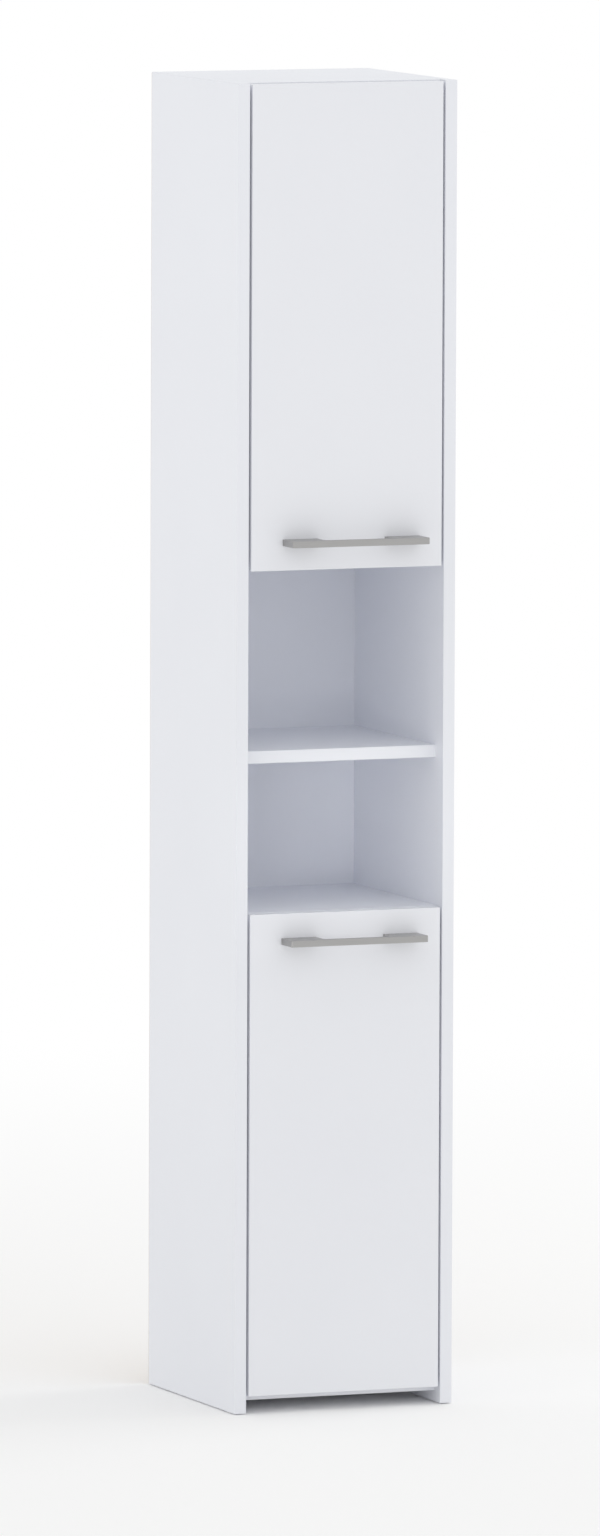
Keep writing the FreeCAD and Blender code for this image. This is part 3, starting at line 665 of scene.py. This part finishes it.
def cup_lug(bm, start, pivot_end, way):
    """A cheek inside the cup that holds one end of the pivot pin, with soft corners."""
    lug = bmesh.ops.create_cube(bm, size=1.0)["verts"]
    size = Vector((pivot_end.x - start.x, pivot_end.y - start.y, LUG_T))
    bmesh.ops.scale(bm, vec=size, verts=lug)
    middle = start + Vector((size.x / 2, size.y / 2, way * LUG_T / 2))
    bmesh.ops.translate(bm, vec=middle, verts=lug)
    edges = {e for v in lug for e in v.link_edges}
    along_pin = [e for e in edges if abs(e.verts[0].co.z - e.verts[1].co.z) > LUG_T / 2]
    bevelled(bm, along_pin, LUG_ROUNDING)


def round_pins(door, kind, body):
    """Pivot pins with turned ends, no longer than the pins of the frame."""
    node_name = f"{door}_hinge_{kind}_pins"
    bm = bmesh.new()
    for low, high in node_parts(node_name):
        radius, length = (high.x - low.x) / 2, high.z - low.z
        centre = (low + high) / 2
        profile = [
            (0, 0), (radius - PIVOT_PIN_BREAK, 0), (radius, PIVOT_PIN_BREAK),
            (radius, length - PIVOT_PIN_BREAK), (radius - PIVOT_PIN_BREAK, length), (0, length),
        ]
        moved(bm, turned(bm, profile, SMALL_STEPS), (centre.x, centre.y, low.z))
    finished(bm, f"{door}_turned_{kind}_pins", body, "zinc_steel", node_name)


def hinges(door):
    """The cups, plates, arms, links, pins and screws of a door's two hinges."""
    body = door + "_door"
    hinge_cups(door)
    broken_edges(door + "_hinge_plates", door + "_mounting_plates", CARCASS, "nickel_steel")
    broken_edges(door + "_hinge_arms", door + "_crank_arms", CARCASS, "nickel_steel")
    broken_edges(door + "_hinge_links", door + "_bent_links", door + "_hinge_link_pair", "nickel_steel")
    round_pins(door, "arm", CARCASS)
    round_pins(door, "cup", body)
    screws_of(door + "_hinge_cup_screws", door + "_cup_screws", body, (0, 1, 0), *WOOD_SCREW)
    screws_of(door + "_hinge_plate_screws", door + "_plate_screws", CARCASS, (1, 0, 0), *WOOD_SCREW)
    screws_of(door + "_hinge_arm_screws", door + "_arm_screws", CARCASS, (1, 0, 0), *ARM_SCREW)


# ---- small fittings ----
def handle_screws(door):
    """The screws that hold the handle from the door's back."""
    screws_of(door + "_handle_screws", door + "_bar_handle_screws", door + "_door", (0, 1, 0), *HANDLE_SCREW)


def door_bumpers(door):
    """Small clear domes on the door's back."""
    node_name = door + "_door_bumpers"
    bm = bmesh.new()
    for low, high in node_parts(node_name):
        radius, height = (high.z - low.z) / 2, high.y - low.y
        profile = [(0, 0), (radius, 0), (radius, height * BUMPER_SKIRT_SHARE)]
        for step in range(1, BUMPER_DOME_STEPS + 1):
            angle = step / BUMPER_DOME_STEPS * math.pi / 2
            share = BUMPER_SKIRT_SHARE + (1 - BUMPER_SKIRT_SHARE) * math.sin(angle)
            profile.append((radius * math.cos(angle), height * share))
        centre = (low + high) / 2
        moved(bm, turned(bm, profile, FITTING_STEPS), (centre.x, low.y, centre.z), (0, 1, 0))
    finished(bm, door + "_soft_bumpers", door + "_door", "bumper_rubber", node_name)


def shelf_pins():
    """Pegs with a thin collar, cut off flat where the shelf lies on them."""
    bm = bmesh.new()
    for low, high in node_parts("shelf_pins"):
        side = 1 if low.x > 0 else -1
        wall_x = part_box("right_side_panel")[0].x * side
        inner_end, outer_end = (low.x, high.x) if side > 0 else (high.x, low.x)
        inside, outside = abs(wall_x - inner_end), abs(outer_end - wall_x)
        verts = turned(bm, [
            (0, -outside),
            (SHELF_PIN_R - SHELF_PIN_BREAK, -outside),
            (SHELF_PIN_R, SHELF_PIN_BREAK - outside),
            (SHELF_PIN_R, 0),
            (SHELF_PIN_COLLAR_R, 0),
            (SHELF_PIN_COLLAR_R, SHELF_PIN_COLLAR_RIM),
            (SHELF_PIN_COLLAR_R - SHELF_PIN_BREAK, SHELF_PIN_COLLAR_T),
            (SHELF_PIN_R, SHELF_PIN_COLLAR_T),
            (SHELF_PIN_R, inside - SHELF_PIN_POINT),
            (SHELF_PIN_R - SHELF_PIN_POINT, inside),
            (0, inside),
        ], FITTING_STEPS)
        moved(bm, verts, (wall_x, (low.y + high.y) / 2, high.z - SHELF_PIN_R), (-side, 0, 0))
        edges = list({e for v in verts for e in v.link_edges})
        faces = list({f for v in verts for f in v.link_faces})
        flat_top = (0, 0, high.z - SHELF_PIN_CUT)
        cut = bmesh.ops.bisect_plane(bm, geom=verts + edges + faces, plane_co=flat_top,
                                     plane_no=(0, 0, 1), clear_outer=True)["geom_cut"]
        bmesh.ops.holes_fill(bm, edges=[e for e in cut if isinstance(e, bmesh.types.BMEdge)])
    finished(bm, "collared_shelf_pins", CARCASS, "zinc_steel", "shelf_pins")


def floor_glides():
    """Nailed glides with a soft rim."""
    bm = bmesh.new()
    for low, high in node_parts("floor_glides"):
        radius = (high.x - low.x) / 2
        centre = (low + high) / 2
        rim = [(radius * share, height) for share, height in GLIDE_RIM]
        profile = [
            (0, 0), *rim, (radius, GLIDE_T), (GLIDE_NAIL_R, GLIDE_T),
            (GLIDE_NAIL_R, high.z - NAIL_POINT), (0, high.z),
        ]
        moved(bm, turned(bm, profile, GLIDE_STEPS), (centre.x, centre.y, 0))
    finished(bm, "nailed_floor_glides", CARCASS, "glide_plastic", "floor_glides")


def back_nails():
    """Flat-headed nails that hold the back sheet."""
    bm = bmesh.new()
    for low, high in node_parts("back_nails"):
        radius, length = (high.x - low.x) / 2, high.y - low.y
        centre = (low + high) / 2
        profile = [
            (0, -length), (NAIL_R, NAIL_POINT - length), (NAIL_R, -NAIL_HEAD_T), (radius, -NAIL_HEAD_RIM),
            (radius, -NAIL_HEAD_ROUND / 2), (radius - NAIL_HEAD_ROUND, 0), (0, 0),
        ]
        moved(bm, turned(bm, profile, SMALL_STEPS), (centre.x, high.y, centre.z), (0, 1, 0))
    finished(bm, "flat_head_nails", CARCASS, "zinc_steel", "back_nails")


def cam_locks():
    """Round cams, flush with the undersides, each with a cross recess."""
    bm = bmesh.new()
    for low, high in node_parts("cam_locks"):
        radius, height = (high.x - low.x) / 2, high.z - low.z
        centre = (low + high) / 2
        verts = recessed_head(bm, radius, height, height - CAM_RIM_DROP, CAM_RECESS_DEPTH)
        moved(bm, verts, (centre.x, centre.y, high.z), (0, 0, -1))
    finished(bm, "recessed_cams", CARCASS, "zinc_die_cast", "cam_locks")


# ---- room, light and camera ----
PLAIN_WHITE = (1.0, 1.0, 1.0, 1.0)
FLOOR_COLOUR = (0.98, 0.975, 0.965, 1.0)
FLOOR_ROUGHNESS = 0.9
FLOOR_SPECULAR = 0.1
FLOOR_R = 160.0
FLOOR_SIDES = 96
# distances from the middle of the cabinet, between which the floor fades into the white around it
FLOOR_FADE_START = 0.9
FLOOR_FADE_END = 4.0
DOME_COLOUR = (0.985, 0.992, 1.0, 1.0)
DOME_STRENGTH = 0.88
LAMP_COLOUR = (1.0, 0.995, 0.985)
NICHE_BOUNCES = 10

# name, place, aim, width, power and spread in degrees
LAMPS = (
    ("soft_key", (3.6, 0.3, 3.4), (0, 0, 0.5), 3.0, 31.0, 180),
    ("high_fill", (-2.6, -1.2, 3.8), (0, 0, 0.9), 2.0, 4.0, 180),
    ("niche_fill", (-0.7, -1.3, 0.62), (0.08, 0, 0.745), 0.2, 0.018, 12),
)


def floor():
    """A pale floor without an edge in sight."""
    bm = bmesh.new()
    bmesh.ops.create_circle(bm, cap_ends=True, radius=FLOOR_R, segments=FLOOR_SIDES)
    mesh = bpy.data.meshes.new("floor")
    bm.to_mesh(mesh)
    bm.free()
    ground = bpy.data.objects.new("floor", mesh)
    bpy.context.scene.collection.objects.link(ground)
    material, tree, shader = new_material("pale_floor")
    shader.inputs["Base Color"].default_value = FLOOR_COLOUR
    shader.inputs["Roughness"].default_value = FLOOR_ROUGHNESS
    shader.inputs["Specular IOR Level"].default_value = FLOOR_SPECULAR
    distance = node(tree, "VectorMath", {"operation": "LENGTH"})
    link(tree, object_place(tree), distance.inputs[0])
    fade = node(tree, "MapRange", {"interpolation_type": "SMOOTHSTEP"},
                From_Min=FLOOR_FADE_START, From_Max=FLOOR_FADE_END)
    link(tree, distance.outputs["Value"], fade.inputs["Value"])
    glow = node(tree, "Emission", Color=PLAIN_WHITE, Strength=1.0)
    mixed_surface(tree, "Material Output", fade.outputs["Result"], shader.outputs["BSDF"],
                  glow.outputs["Emission"])
    mesh.materials.append(material)


def studio_light():
    """A soft dome that is seen as plain white, and the lamps."""
    world = bpy.data.worlds.new("studio")
    bpy.context.scene.world = world
    world.use_nodes = True
    tree = world.node_tree
    fill = tree.nodes["Background"]
    fill.inputs["Color"].default_value = DOME_COLOUR
    fill.inputs["Strength"].default_value = DOME_STRENGTH
    seen = node(tree, "Background", Color=PLAIN_WHITE, Strength=1.0)
    ray = node(tree, "LightPath")
    mixed_surface(tree, "World Output", ray.outputs["Is Camera Ray"], fill.outputs["Background"],
                  seen.outputs["Background"])
    for lamp in LAMPS:
        soft_lamp(*lamp)


def soft_lamp(name, place, aim, width, power, spread):
    """A round lamp that isn't seen itself, turned towards its aim."""
    lamp = bpy.data.lights.new(name, "AREA")
    lamp.shape = "DISK"
    lamp.size = width
    lamp.energy = power
    lamp.spread = math.radians(spread)
    lamp.color = LAMP_COLOUR
    holder = bpy.data.objects.new(name, lamp)
    holder.location = place
    holder.rotation_mode = "QUATERNION"
    holder.rotation_quaternion = (Vector(aim) - holder.location).to_track_quat("-Z", "Y")
    bpy.context.scene.collection.objects.link(holder)
    holder.visible_camera = False


# the camera's place, found by fitting the photograph's edges; angles in degrees
CAMERA_AZIMUTH = -21.999
CAMERA_ELEVATION = 5.699
CAMERA_ROLL = 0.199
CAMERA_DISTANCE = 18.9636
CAMERA_TARGET = (-0.06295, -0.134, 0.82725)
CAMERA_LENS = 349.2
CAMERA_SENSOR = 36.0
CAMERA_CLIP = (0.1, 400.0)


def camera():
    """A long lens at the photograph's place."""
    data = bpy.data.cameras.new("camera")
    data.sensor_fit = "AUTO"
    data.sensor_width = CAMERA_SENSOR
    data.lens = CAMERA_LENS
    data.clip_start, data.clip_end = CAMERA_CLIP
    azimuth, elevation = math.radians(CAMERA_AZIMUTH), math.radians(CAMERA_ELEVATION)
    back = Vector((
        math.sin(azimuth) * math.cos(elevation),
        -math.cos(azimuth) * math.cos(elevation),
        math.sin(elevation),
    ))
    right = Vector((math.cos(azimuth), math.sin(azimuth), 0))
    up = back.cross(right)
    roll = math.radians(CAMERA_ROLL)
    rolled_right = right * math.cos(roll) + up * math.sin(roll)
    rolled_up = up * math.cos(roll) - right * math.sin(roll)
    place = Vector(CAMERA_TARGET) + back * CAMERA_DISTANCE
    axes = Matrix((rolled_right, rolled_up, back)).transposed().to_4x4()
    seen_from = bpy.data.objects.new("camera", data)
    seen_from.matrix_world = Matrix.Translation(place) @ axes
    bpy.context.scene.collection.objects.link(seen_from)
    bpy.context.scene.camera = seen_from


def plain_colours():
    """Display white stays white, and light goes on from wall to wall in the white niche."""
    scene = bpy.context.scene
    scene.view_settings.view_transform = "Standard"
    scene.view_settings.look = "None"
    scene.cycles.max_bounces = NICHE_BOUNCES
    scene.cycles.diffuse_bounces = NICHE_BOUNCES


dress_frame()
for door in DOORS:
    bar_handle(door)
    hinges(door)
    handle_screws(door)
    door_bumpers(door)
shelf_pins()
floor_glides()
back_nails()
cam_locks()
broken_edges("wall_brackets", "pressed_wall_brackets", CARCASS, "zinc_steel")
screws_of("wall_bracket_screws", "bracket_screws", CARCASS, (0, 0, -1), *WOOD_SCREW)
floor()
studio_light()
camera()
plain_colours()
